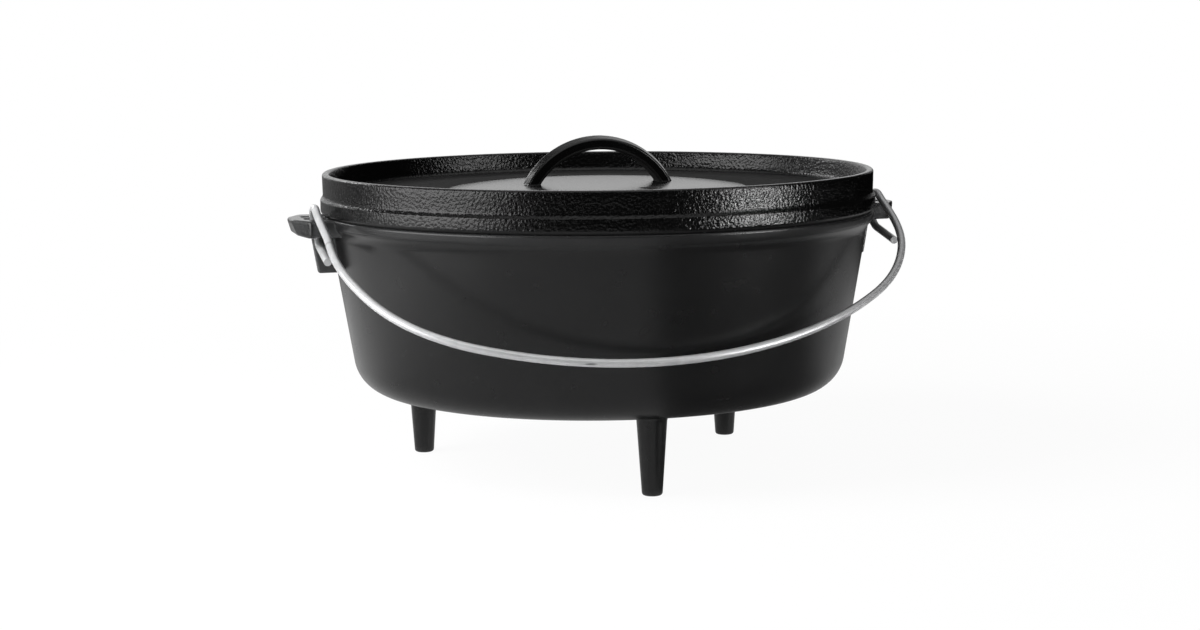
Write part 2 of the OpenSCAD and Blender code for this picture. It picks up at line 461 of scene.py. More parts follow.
class Sweep:
    """Geometry Nodes tree that sweeps a section along the path in an object's own mesh."""

    def __init__(self, name: str) -> None:
        """Starts the tree with its geometry sockets."""
        self.group = bpy.data.node_groups.new(name, "GeometryNodeTree")
        self.tree = Tree(self.group)
        self.sockets: dict[str, str] = {}
        self.group.interface.new_socket("Path", in_out="INPUT", socket_type="NodeSocketGeometry")
        self.group.interface.new_socket("Piece", in_out="OUTPUT", socket_type="NodeSocketGeometry")

    def size(self, name: str, kind: str = "NodeSocketFloat") -> None:
        """Adds a named input to the tree."""
        socket = self.group.interface.new_socket(name, in_out="INPUT", socket_type=kind)
        self.sockets[name] = socket.identifier

    def along(self, section: Callable[[Tree, bpy.types.Node], bpy.types.NodeSocket]) -> None:
        """Builds the sweep.

        Args:
            section: Adds the section's nodes and returns its curve.
        """
        tree = self.tree
        given = tree.add("NodeGroupInput")
        path = tree.add("GeometryNodeMeshToCurve", {"Mesh": given.outputs["Path"]})
        length = tree.add("GeometryNodeSplineParameter").outputs["Length"]
        marked = tree.add(
            "GeometryNodeStoreNamedAttribute",
            {"Geometry": path.outputs[0], "Name": "along", "Value": length},
            data_type="FLOAT", domain="POINT")
        taper = tree.add("GeometryNodeInputNamedAttribute", {"Name": "taper"}, data_type="FLOAT")
        sized = tree.add(
            "GeometryNodeSetCurveRadius",
            {"Curve": marked.outputs[0], "Radius": taper.outputs["Attribute"]})
        tilted = tree.add(
            "GeometryNodeSetCurveTilt",
            {"Curve": sized.outputs[0], "Tilt": given.outputs["Tilt"]})
        around = tree.add("GeometryNodeSplineParameter").outputs["Factor"]
        ring = tree.add(
            "GeometryNodeStoreNamedAttribute",
            {"Geometry": section(tree, given), "Name": "around", "Value": around},
            data_type="FLOAT", domain="POINT")
        swept = tree.add(
            "GeometryNodeCurveToMesh",
            {"Curve": tilted.outputs[0], "Profile Curve": ring.outputs[0], "Fill Caps": True})
        real = tree.add("GeometryNodeRealizeInstances", {"Geometry": swept.outputs[0]})
        dressed = tree.add(
            "GeometryNodeSetMaterial",
            {"Geometry": real.outputs[0], "Material": given.outputs["Finish"]})
        tree.add("NodeGroupOutput", {"Piece": dressed.outputs[0]})

    def run(self, name: str, path: np.ndarray, taper: np.ndarray, sizes: dict) -> bpy.types.Mesh:
        """Sweeps along one path.

        Args:
            name: Name of the new mesh.
            path: Points of the path in millimetres.
            taper: Share of the section's size at each point.
            sizes: Values of the tree's inputs, by name.

        Returns:
            The swept mesh.
        """
        line = bpy.data.meshes.new(name + "_path")
        edges = [(i, i + 1) for i in range(len(path) - 1)]
        line.from_pydata((path * MM).tolist(), edges, [])
        paint(line, "taper", taper)
        obj = new_object(name + "_path", line)
        sweep = obj.modifiers.new("sweep", "NODES")
        sweep.node_group = self.group
        for key, value in sizes.items():
            sweep[self.sockets[key]] = value
        mesh = evaluated_mesh(obj, name)
        turn_outwards(mesh)
        return mesh


def round_section(tree: Tree, given: bpy.types.Node) -> bpy.types.NodeSocket:
    """Adds a round section of the tree's wire radius.

    Args:
        tree: Tree to fill.
        given: The tree's input node.

    Returns:
        The section's curve.
    """
    ring = tree.add(
        "GeometryNodeCurvePrimitiveCircle",
        {"Resolution": given.outputs["Sides"], "Radius": given.outputs["Wire Radius"]})
    return ring.outputs[0]


def bar_section(tree: Tree, given: bpy.types.Node) -> bpy.types.NodeSocket:
    """Adds a rectangular section with rounded edges.

    Args:
        tree: Tree to fill.
        given: The tree's input node.

    Returns:
        The section's curve.
    """
    box = tree.add(
        "GeometryNodeCurvePrimitiveQuadrilateral",
        {"Width": given.outputs["Bar Width"], "Height": given.outputs["Bar Thickness"]})
    rounded = tree.add(
        "GeometryNodeFilletCurve",
        {"Curve": box.outputs[0], "Radius": given.outputs["Edge Radius"],
         "Count": EDGE_STEPS, "Limit Radius": True},
        mode="POLY")
    fine = tree.add(
        "GeometryNodeSubdivideCurve", {"Curve": rounded.outputs[0], "Cuts": SIDE_CUTS})
    return fine.outputs[0]


# Finishes


@dataclass(frozen=True)
class SeasonedIron:
    """Black seasoned cast iron with a cast grain; lengths in millimetres."""

    name: str
    dark: float
    light: float
    smooth: float
    rough: float
    polished: float = 0.22
    dull: float = 1.0
    gloss: float = 0.5
    patch: float = 26.0
    blotch: float = 10.4
    speck_share: float = 0.7
    speck_dark: float = 0.7
    speck_light: float = 1.3
    wear_and_light_lift: float = 0.035
    green: float = 1.01
    blue: float = 1.03
    calmed: float = 0.3
    grain_size: float = 1.3
    grain_height: float = 0.12
    fine_size: float = 0.45
    fine_height: float = 0.02
    wave_size: float = 34.0
    wave_height: float = 0.10

    def material(self) -> bpy.types.Material:
        """Builds the finish from the grain, polish, matte, and wear and painted light attributes.

        Returns:
            The material.
        """
        material, tree = new_material(self.name)
        place = tree.add("ShaderNodeTexCoord").outputs["Object"]
        polish = tree.attribute("polish")
        tone = tree.between(tree.noise(place, self.patch, 3.0), self.dark, self.light)
        specks = tree.noise(place, self.grain_size * self.speck_share, 2.0)
        tone = tree.math("MULTIPLY", tone, tree.between(specks, self.speck_dark, self.speck_light))
        # Lightens the colour where the piece is worn, and on the ears' necks as painted light.
        worn_and_lit = tree.math("MULTIPLY", tree.attribute("wear_and_painted_light"), self.wear_and_light_lift)
        roughness = tree.between(tree.noise(place, self.blotch, 4.0), self.smooth, self.rough)
        roughness = tree.between(polish, roughness, self.polished)
        roughness = tree.between(tree.attribute("matte"), roughness, self.dull)
        shader = tree.add(
            "ShaderNodeBsdfPrincipled",
            {"Base Color": tree.tinted(tree.math("ADD", tone, worn_and_lit), self.green, self.blue),
             "Roughness": roughness, "Specular IOR Level": self.gloss,
             "Normal": self.relief(tree, place, polish)})
        tree.add("ShaderNodeOutputMaterial", {"Surface": shader.outputs[0]})
        return material

    def relief(self, tree: Tree, place: bpy.types.NodeSocket,
               polish: bpy.types.NodeSocket) -> bpy.types.NodeSocket:
        """Adds the cast surface: slow waves, sand grain and a fine tooth.

        Args:
            tree: Tree to fill.
            place: Coordinates to read.
            polish: Share of the polish, which calms the waves and the tooth.

        Returns:
            The normal's socket.
        """
        calm = tree.between(polish, 1.0, self.calmed)
        layers = (
            (self.wave_size, 1.0, calm, self.wave_height),
            (self.grain_size, 1.5, tree.attribute("grain"), self.grain_height),
            (self.fine_size, 1.0, calm, self.fine_height))
        below: dict[str, bpy.types.NodeSocket] = {}
        for size, detail, share, height in layers:
            raised = tree.math("MULTIPLY", tree.noise(place, size, detail), share)
            bump = tree.add(
                "ShaderNodeBump",
                {"Height": raised, "Distance": height * MM, "Strength": 1.0, **below})
            below = {"Normal": bump.outputs[0]}
        return below["Normal"]


@dataclass(frozen=True)
class ZincWire:
    """Zinc-plated steel wire: mottled, with fine drawing lines; lengths in millimetres."""

    name: str
    dark: float = 0.50
    light: float = 0.72
    mottle: float = 5.0
    smooth: float = 0.30
    rough: float = 0.42
    metal: float = 0.6
    lines: float = 26.0
    line_length: float = 40.0
    line_height: float = 0.004
    line_dark: float = 0.85
    line_light: float = 1.12
    nicked: float = 0.3
    green: float = 1.005
    blue: float = 1.015

    def material(self) -> bpy.types.Material:
        """Builds the finish; it reads the wire's along, around and nick attributes.

        Returns:
            The material.
        """
        material, tree = new_material(self.name)
        place = tree.add("ShaderNodeTexCoord").outputs["Object"]
        turn = tree.math("MULTIPLY", tree.attribute("around"), 2 * math.pi)
        girth = self.lines / (2 * math.pi)
        drawn = tree.add(
            "ShaderNodeCombineXYZ",
            {"X": tree.math("MULTIPLY", tree.math("COSINE", turn), girth),
             "Y": tree.math("MULTIPLY", tree.math("SINE", turn), girth),
             "Z": tree.math("DIVIDE", tree.attribute("along"), self.line_length * MM)})
        lines = tree.add(
            "ShaderNodeTexNoise",
            {"Vector": drawn.outputs[0], "Scale": 1.0, "Detail": 3.0}).outputs["Fac"]
        mottle = tree.noise(place, self.mottle, 4.0)
        tone = tree.between(mottle, self.dark, self.light)
        tone = tree.math("MULTIPLY", tone, tree.between(lines, self.line_dark, self.line_light))
        tone = tree.math("MULTIPLY", tone, tree.between(tree.attribute("nick"), 1.0, self.nicked))
        relief = tree.add(
            "ShaderNodeBump",
            {"Height": lines, "Distance": self.line_height * MM, "Strength": 1.0})
        shader = tree.add(
            "ShaderNodeBsdfPrincipled",
            {"Base Color": tree.tinted(tone, self.green, self.blue), "Metallic": self.metal,
             "Roughness": tree.between(mottle, self.smooth, self.rough),
             "Normal": relief.outputs[0]})
        tree.add("ShaderNodeOutputMaterial", {"Surface": shader.outputs[0]})
        return material


def hand_over(name: str, mesh: bpy.types.Mesh, material: bpy.types.Material, body: Body,
              slot: Slot, *nodes: str) -> bpy.types.Object:
    """Makes a finished mesh a piece of the object.

    Args:
        name: Name of the piece.
        mesh: Its mesh.
        material: Its finish.
        body: Body that it rides on.
        slot: Material slot of the record; not used.
        *nodes: CAD nodes that it stands for.

    Returns:
        The piece.
    """
    mesh.materials.clear()
    mesh.materials.append(material)
    mesh.polygons.foreach_set("material_index", np.zeros(len(mesh.polygons), np.int32))
    obj = new_object(name, mesh)
    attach(obj, body.value)
    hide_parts(*nodes)
    mesh.calc_loop_triangles()
    LOG.info("%s: %d triangles on %s", name, len(mesh.loop_triangles), body.value)
    return obj


# The object


@dataclass
class PotCasting:
    """The pot with its cast-on legs and ears; lengths in millimetres."""

    wall_draft: float = 9.5
    wall_t: float = 4.2
    floor_t: float = 4.6
    corner_r: float = 21.0
    rim_proud: float = 3.0
    rim_band_h: float = 5.5
    rim_slope_h: float = 4.0
    rim_lean: float = 0.9
    leg_root_r: float = 8.7
    leg_flare_r: float = 3.4
    foot_r: float = 5.7
    foot_edge_r: float = 1.7
    foot_crown: float = 0.35
    ear_margin_deg: float = 13.5
    ear_patch_low: float = 104.0
    skin_depth: float = 0.6
    skin_t: float = 3.0
    skin_cell: float = 0.6
    skin_passes: int = 12
    patch_steps: int = 60
    near_wall: float = 0.8
    root_depth: float = 2.0
    leg_skirt: float = 0.8
    leg_sunk: float = 2.4
    wall_grain: float = 0.12
    rim_grain: float = 0.35
    inside_grain: float = 0.6
    leg_grain: float = 0.25
    ear_grain: float = 0.2
    rim_rub: float = 0.25
    inside_rub: float = 0.05
    foot_rub: float = 0.5
    ear_rub: float = 0.3
    tip_rub: float = 0.3
    neck_painted_light: float = 0.9
    segments: int = 288
    leg_segments: int = 72

    def __post_init__(self) -> None:
        """Takes the pot's place from the CAD model."""
        low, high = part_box("pot_shell")
        self.bottom_z = low.z / MM
        self.rim_z = high.z / MM
        self.rim_r = high.x / MM
        self.draft = math.tan(math.radians(self.wall_draft))

    def wall_r(self, z: float) -> float:
        """Outer radius of the plain wall at height z."""
        return self.rim_r - self.rim_proud - (self.rim_z - z) * self.draft

    def outside_r(self, z: np.ndarray) -> np.ndarray:
        """Outer radius of the bowl's section at each height."""
        path = np.array(self.bowl_path())
        outer = path[:int(np.argmax(path[:, 1])) + 1]
        return np.interp(z, outer[:, 1], outer[:, 0])

    def bowl_path(self) -> Points:
        """Gives the bowl's section from the underside over the rim to the inside.

        Returns:
            Radius and height of each point.
        """
        across = self.wall_t / math.cos(math.radians(self.wall_draft))
        band = self.rim_z - self.rim_band_h
        slope = band - self.rim_slope_h
        floor = self.bottom_z + self.floor_t
        return refined(rounded_path([
            (0, self.bottom_z, 0),
            (self.wall_r(self.bottom_z), self.bottom_z, self.corner_r),
            (self.wall_r(slope), slope, 9.0),
            (self.rim_r - self.rim_lean, band, 5.0),
            (self.rim_r, self.rim_z, 1.6),
            (self.wall_r(self.rim_z) - across, self.rim_z, 0.9),
            (self.wall_r(floor) - across, floor, self.corner_r - self.wall_t),
            (0, floor, 0),
        ], 14), 6.0)

    def bowl(self) -> bpy.types.Mesh:
        """Builds the bowl.

        Returns:
            The bowl's mesh.
        """
        mesh = revolved("pot_bowl", self.bowl_path(), self.segments)
        at = points_of(mesh)
        radius = np.hypot(at[:, 0], at[:, 1])
        outside = radius > self.outside_r(at[:, 2]) - 1.5
        rim = smooth_step(at[:, 2], self.rim_z - 9, self.rim_z - 1)
        paint(mesh, "grain", np.where(outside, self.wall_grain + self.rim_grain * rim,
                                      self.inside_grain))
        paint(mesh, "wear_and_painted_light", np.where(outside, self.rim_rub * rim, self.inside_rub))
        return mesh

    def leg(self, node: str) -> bpy.types.Mesh:
        """Builds one leg at the place of its CAD node.

        Args:
            node: Name of the CAD node.

        Returns:
            The leg's mesh.
        """
        low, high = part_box(node)
        x, y = (low.x + high.x) / 2 / MM, (low.y + high.y) / 2 / MM
        top = self.bottom_z
        skirt = self.leg_root_r + self.leg_flare_r + self.leg_skirt
        path = refined(rounded_path([
            (0, 0, 0),
            (self.foot_r - self.foot_edge_r - 0.6, 0, 1.0),
            (self.foot_r, self.foot_crown, self.foot_edge_r),
            (self.leg_root_r, top - 0.25, self.leg_flare_r),
            (skirt, top - 0.05, 0.4),
            (skirt, top + self.leg_sunk, 0.4),
            (0, top + self.leg_sunk, 0),
        ], 10), 2.5)
        mesh = revolved(node + "_mesh", path, self.leg_segments)
        at = points_of(mesh)
        at[:, 0] += x
        at[:, 1] += y
        move_points(mesh, at)
        paint(mesh, "grain", np.full(len(at), self.leg_grain))
        paint(mesh, "wear_and_painted_light", self.foot_rub * (1 - smooth_step(at[:, 2], 0, 3)))
        return mesh

    def wall_patch(self, side: int) -> bpy.types.Mesh:
        """Builds a slice of the wall just under its skin, for an ear to be cast onto.

        Args:
            side: 1 for the right-hand ear, -1 for the left-hand one.

        Returns:
            The slice as a closed mesh.
        """
        half = math.radians(self.ear_margin_deg)
        angles = np.linspace(-half, half, self.patch_steps)
        heights = np.linspace(self.ear_patch_low, self.rim_z - 1.0, self.patch_steps)
        outer = self.outside_r(heights) - self.skin_depth
        verts, faces = [], []
        for depth in (0.0, self.skin_t):
            for a in angles:
                for z, r in zip(heights, outer):
                    reach = r - depth
                    verts.append((side * reach * math.cos(a), reach * math.sin(a), z))
        columns, rows = len(angles), len(heights)
        shift = columns * rows

        def at(i: int, j: int, layer: int) -> int:
            """Number of the point in column i and row j of a layer."""
            return layer * shift + i * rows + j

        for i in range(columns - 1):
            for j in range(rows - 1):
                for layer in (0, 1):
                    faces.append((at(i, j, layer), at(i + 1, j, layer),
                                  at(i + 1, j + 1, layer), at(i, j + 1, layer)))
        for i in range(columns - 1):
            for j in (0, rows - 1):
                faces.append((at(i, j, 0), at(i + 1, j, 0), at(i + 1, j, 1), at(i, j, 1)))
        for j in range(rows - 1):
            for i in (0, columns - 1):
                faces.append((at(i, j, 0), at(i, j + 1, 0), at(i, j + 1, 1), at(i, j, 1)))
        return mesh_from("wall_patch", np.array(verts), faces)

    def ear(self, node: str, side: int) -> bpy.types.Mesh:
        """Builds one ear from its CAD node, cast onto the wall with rounded edges.

        Args:
            node: Name of the CAD node.
            side: 1 for the right-hand ear, -1 for the left-hand one.

        Returns:
            The ear's mesh.
        """
        solid = merged_copy(node)
        at = points_of(solid)
        radius = np.hypot(at[:, 0], at[:, 1])
        on_wall = np.abs(radius - self.outside_r(at[:, 2])) < self.near_wall
        share = np.where(on_wall, (radius - self.root_depth) / radius, 1.0)
        at[:, 0] *= share
        at[:, 1] *= share
        move_points(solid, at)
        shells = joined(node + "_mesh", [solid, self.wall_patch(side)])
        mesh = cast_together(shells, self.skin_cell, self.skin_passes)
        at = points_of(mesh)
        paint(mesh, "grain", np.full(len(at), self.ear_grain))
        tip = smooth_step(np.abs(at[:, 0]), self.rim_r + 12, self.rim_r + 20)
        # The neck, where the bail's eye sits, is painted lighter: painted light over the shade and
        # dark reflections that fall there.
        neck = 1 - smooth_step(np.abs(at[:, 0]), self.rim_r + 8, self.rim_r + 11)
        paint(mesh, "wear_and_painted_light", self.ear_rub + self.tip_rub * tip + self.neck_painted_light * neck)
        return mesh

    def build(self, wall: SeasonedIron, cast: SeasonedIron) -> None:
        """Builds and dresses the bowl, the legs and the ears.

        Args:
            wall: Finish of the bowl and the legs.
            cast: Finish of the ears.
        """
        smooth, coarse = wall.material(), cast.material()
        slot = Slot.POT_IRON
        hand_over("pot_bowl", self.bowl(), smooth, Body.POT, slot, "pot_shell")
        for node in ("leg_front", "leg_rear_left", "leg_rear_right"):
            hand_over(node + "_cast", self.leg(node), smooth, Body.POT, slot, node)
        for node, side in (("ear_right", 1), ("ear_left", -1)):
            hand_over(node + "_cast", self.ear(node, side), coarse, Body.POT, slot, node)


@dataclass
class LidCasting:
    """The lid with its coal lip and its arched handle; lengths in millimetres."""

    flange_h: float = 8.8
    lip_inset: float = 1.2
    lip_t: float = 3.8
    lip_lean: float = 3.2
    plate_t: float = 4.6
    moat_depth: float = 12.0
    plateau_rise: float = 4.0
    plateau_r: float = 48.0
    dome_r: float = 88.0
    band_rise: float = 0.8
    band_r: float = 112.0
    ring_r: float = 109.0
    moat_r: float = 126.0
    ring_depth: float = 5.6
    ring_t: float = 3.4
    ring_out_r: float = 151.4
    dimple_r: float = 5.3
    dimple_depth: float = 2.1
    dimple_off: float = 52.0
    dimple_turn: float = -70.0
    handle_span: float = 90.0
    handle_t: float = 8.0
    handle_w: float = 14.0
    handle_draft: float = 16.0
    handle_edge_r: float = 1.2
    handle_steps: int = 97
    handle_sunk: float = 2.5
    handle_cell: float = 0.4
    handle_passes: int = 3
    pad_r: float = 13.0
    pad_in: float = 6.0
    pad_high: float = 0.3
    pad_low: float = 3.2
    disc_grain: float = 0.02
    band_grain: float = 0.24
    lip_grain: float = 0.74
    handle_grain: float = 0.15
    crest_rub: float = 0.1
    crown_rub: float = 0.15
    ring_shine: float = 0.2
    inner_matte: float = 0.9
    segments: int = 360
    pad_segments: int = 48

    def __post_init__(self) -> None:
        """Takes the lid's place from the CAD model."""
        low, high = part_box("lid_rim")
        self.flange_r = high.x / MM
        self.lip_z = high.z / MM
        self.seat_z = low.z / MM + self.ring_depth
        self.moat_z = self.lip_z - self.moat_depth
        self.plateau_z = self.moat_z + self.plateau_rise
        self.handle_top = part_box("lid_handle")[1].z / MM
        self.band_z = self.moat_z + self.band_rise
        drop, run = self.plateau_z - self.band_z, self.dome_r - self.plateau_r
        self.dome_curve_r = (run * run + drop * drop) / (2 * drop)

    def plate_top(self, r: np.ndarray) -> np.ndarray:
        """Height of the plate's flat middle or its rounded shoulder at each radius."""
        out = np.maximum(r - self.plateau_r, 0)
        return self.plateau_z - self.dome_curve_r + np.sqrt(self.dome_curve_r ** 2 - out ** 2)

    def plate_path(self) -> Points:
        """Gives the lid's section from the middle of its top to the middle of its underside.

        Returns:
            Radius and height of each point.
        """
        top, moat, band = self.plateau_z, self.moat_z, self.band_z
        edge = self.dome_r - 2
        step = self.seat_z + self.flange_h
        lip = self.flange_r - self.lip_inset
        inside = lip - self.lip_t
        ring = self.ring_out_r
        under = moat - self.plate_t
        path = refined(rounded_path([
            (edge, float(self.plate_top(edge)), 0),
            (self.dome_r, band, 3.0),
            (self.band_r, band, 20.0),
            (self.moat_r, moat, 20.0),
            (inside - self.lip_lean, moat, 3.4),
            (inside, self.lip_z, 1.5),
            (lip, self.lip_z, 1.5),
            (lip - 0.3, step + 1.6, 3.0),
            (self.flange_r, step - 0.6, 1.4),
            (self.flange_r, self.seat_z, 2.3),
            (ring, self.seat_z, 0.4),
            (ring, self.seat_z - self.ring_depth, 1.0),
            (ring - self.ring_t, self.seat_z - self.ring_depth, 1.0),
            (ring - self.ring_t, under, 2.0),
            (self.moat_r, under, 6.0),
            (self.dome_r, band - self.plate_t, 20.0),
            (self.plateau_r, top - self.plate_t, 60.0),
            (0, top - self.plate_t, 0),
        ], 8), 4.0)
        start = self.dimple_off - self.dimple_r - 2
        stop = self.dimple_off + self.dimple_r + 2
        radii = np.array([*np.arange(0, start, 4.0), *np.arange(start, stop, 0.5),
                          *np.arange(stop, edge - 1, 2.0)])
        return list(zip(radii.tolist(), self.plate_top(radii).tolist())) + path

    def plate(self) -> bpy.types.Mesh:
        """Builds the plate, the lip and the flange in one casting.

        Returns:
            The lid's mesh.
        """
        mesh = revolved("lid_casting", self.plate_path(), self.segments)
        at = points_of(mesh)
        turn = math.radians(self.dimple_turn)
        middle = self.dimple_off * np.array([math.cos(turn), math.sin(turn)])
        away = np.hypot(at[:, 0] - middle[0], at[:, 1] - middle[1])
        on_top = at[:, 2] > self.band_z
        drop = 1 - smooth_step(away, self.dimple_r - 0.5, self.dimple_r + 0.4)
        at[:, 2] -= np.where(on_top, self.dimple_depth * drop, 0)
        move_points(mesh, at)
        radius = np.hypot(at[:, 0], at[:, 1])
        edge = smooth_step(radius, self.dome_r - 1, self.dome_r + 2)
        lip = smooth_step(radius, self.moat_r, self.moat_r + 14)
        paint(mesh, "grain", self.disc_grain + self.band_grain * edge + self.lip_grain * lip)
        flat = 1 - smooth_step(radius, self.band_r, self.moat_r)
        paint(mesh, "polish", np.where(at[:, 2] > self.moat_z - 1, flat, 0))
        inside = self.flange_r - self.lip_inset - self.lip_t - self.lip_lean
        moat = smooth_step(radius, self.dome_r - 2, self.dome_r)
        moat *= 1 - smooth_step(radius, inside - 4, inside - 2)
        ring = 1 - smooth_step(np.abs(radius - self.ring_r), 0.6, 1.6)
        seam = 1 - smooth_step(at[:, 2], self.seat_z + 0.4, self.seat_z + 1.4)
        paint(mesh, "matte", np.maximum.reduce([moat * (1 - self.ring_shine * ring), drop, seam]))
        crest = smooth_step(at[:, 2], self.lip_z - 1.2, self.lip_z - 0.1)
        paint(mesh, "wear_and_painted_light", self.crest_rub * crest)
        return mesh

    def handle(self) -> bpy.types.Mesh:
        """Builds the arched handle, with its feet cast onto the plate.

        Returns:
            The handle's mesh.
        """
        rise = self.handle_top - self.plateau_z
        half = self.handle_span / 2
        outer = (half * half + rise * rise) / (2 * rise)
        middle_z = self.handle_top - outer
        radius = outer - self.handle_t / 2
        reach = math.acos((self.plateau_z - self.handle_sunk - middle_z) / radius)
        angles = np.linspace(-reach, reach, self.handle_steps)
        path = np.column_stack([
            radius * np.sin(angles), 0 * angles, middle_z + radius * np.cos(angles)])
        sweep = Sweep("handle_bar")
        for name in ("Bar Width", "Bar Thickness", "Edge Radius", "Tilt"):
            sweep.size(name)
        sweep.size("Finish", "NodeSocketMaterial")
        sweep.along(bar_section)
        bar = sweep.run("handle_bar", path, np.ones(len(path)), {
            "Bar Width": self.handle_w * MM, "Bar Thickness": self.handle_t * MM,
            "Edge Radius": self.handle_edge_r * MM, "Tilt": 0.0})
        at = points_of(bar)
        arm = np.stack([at[:, 0], at[:, 2] - middle_z], 1)
        out = np.linalg.norm(arm, axis=1)
        height = (out - radius) / self.handle_t + 0.5
        slope = np.abs(at[:, 1]) * math.tan(math.radians(self.handle_draft))
        arm *= ((out - height * slope) / out)[:, None]
        move_points(bar, np.column_stack([arm[:, 0], at[:, 1], arm[:, 1] + middle_z]))
        shells = joined("lid_handle_mesh", [bar, self.pad(-1), self.pad(1)])
        mesh = cast_together(shells, self.handle_cell, self.handle_passes)
        at = points_of(mesh)
        paint(mesh, "grain", np.full(len(at), self.handle_grain))
        top = smooth_step(at[:, 2], self.handle_top - 2.0, self.handle_top)
        paint(mesh, "wear_and_painted_light", self.crown_rub * top)
        out = np.hypot(at[:, 0], at[:, 2] - middle_z)
        inner = 1 - smooth_step(out, radius - 3.4, radius - 2)
        paint(mesh, "matte", self.inner_matte * inner)
        return mesh

    def pad(self, side: int) -> bpy.types.Mesh:
        """Builds a round slice just under the plate's top, to cast a foot of the handle onto.

        Args:
            side: 1 for the right-hand foot, -1 for the left-hand one.

        Returns:
            The slice as a closed mesh.
        """
        high, low = self.plateau_z - self.pad_high, self.plateau_z - self.pad_low
        path = rounded_path([
            (0, high, 0), (self.pad_r, high, 0.5), (self.pad_r, low, 0.5), (0, low, 0)], 3)
        mesh = revolved("handle_pad", path, self.pad_segments)
        at = points_of(mesh)
        at[:, 0] += side * (self.handle_span / 2 - self.pad_in)
        move_points(mesh, at)
        return mesh

    def build(self, finish: SeasonedIron) -> None:
        """Builds and dresses the lid.

        Args:
            finish: Finish of the lid and its handle.
        """
        material = finish.material()
        slot = Slot.LID_IRON
        hand_over("lid_casting", self.plate(), material, Body.LID, slot, "lid_plate", "lid_rim")
        hand_over("lid_handle_cast", self.handle(), material, Body.LID, slot, "lid_handle")


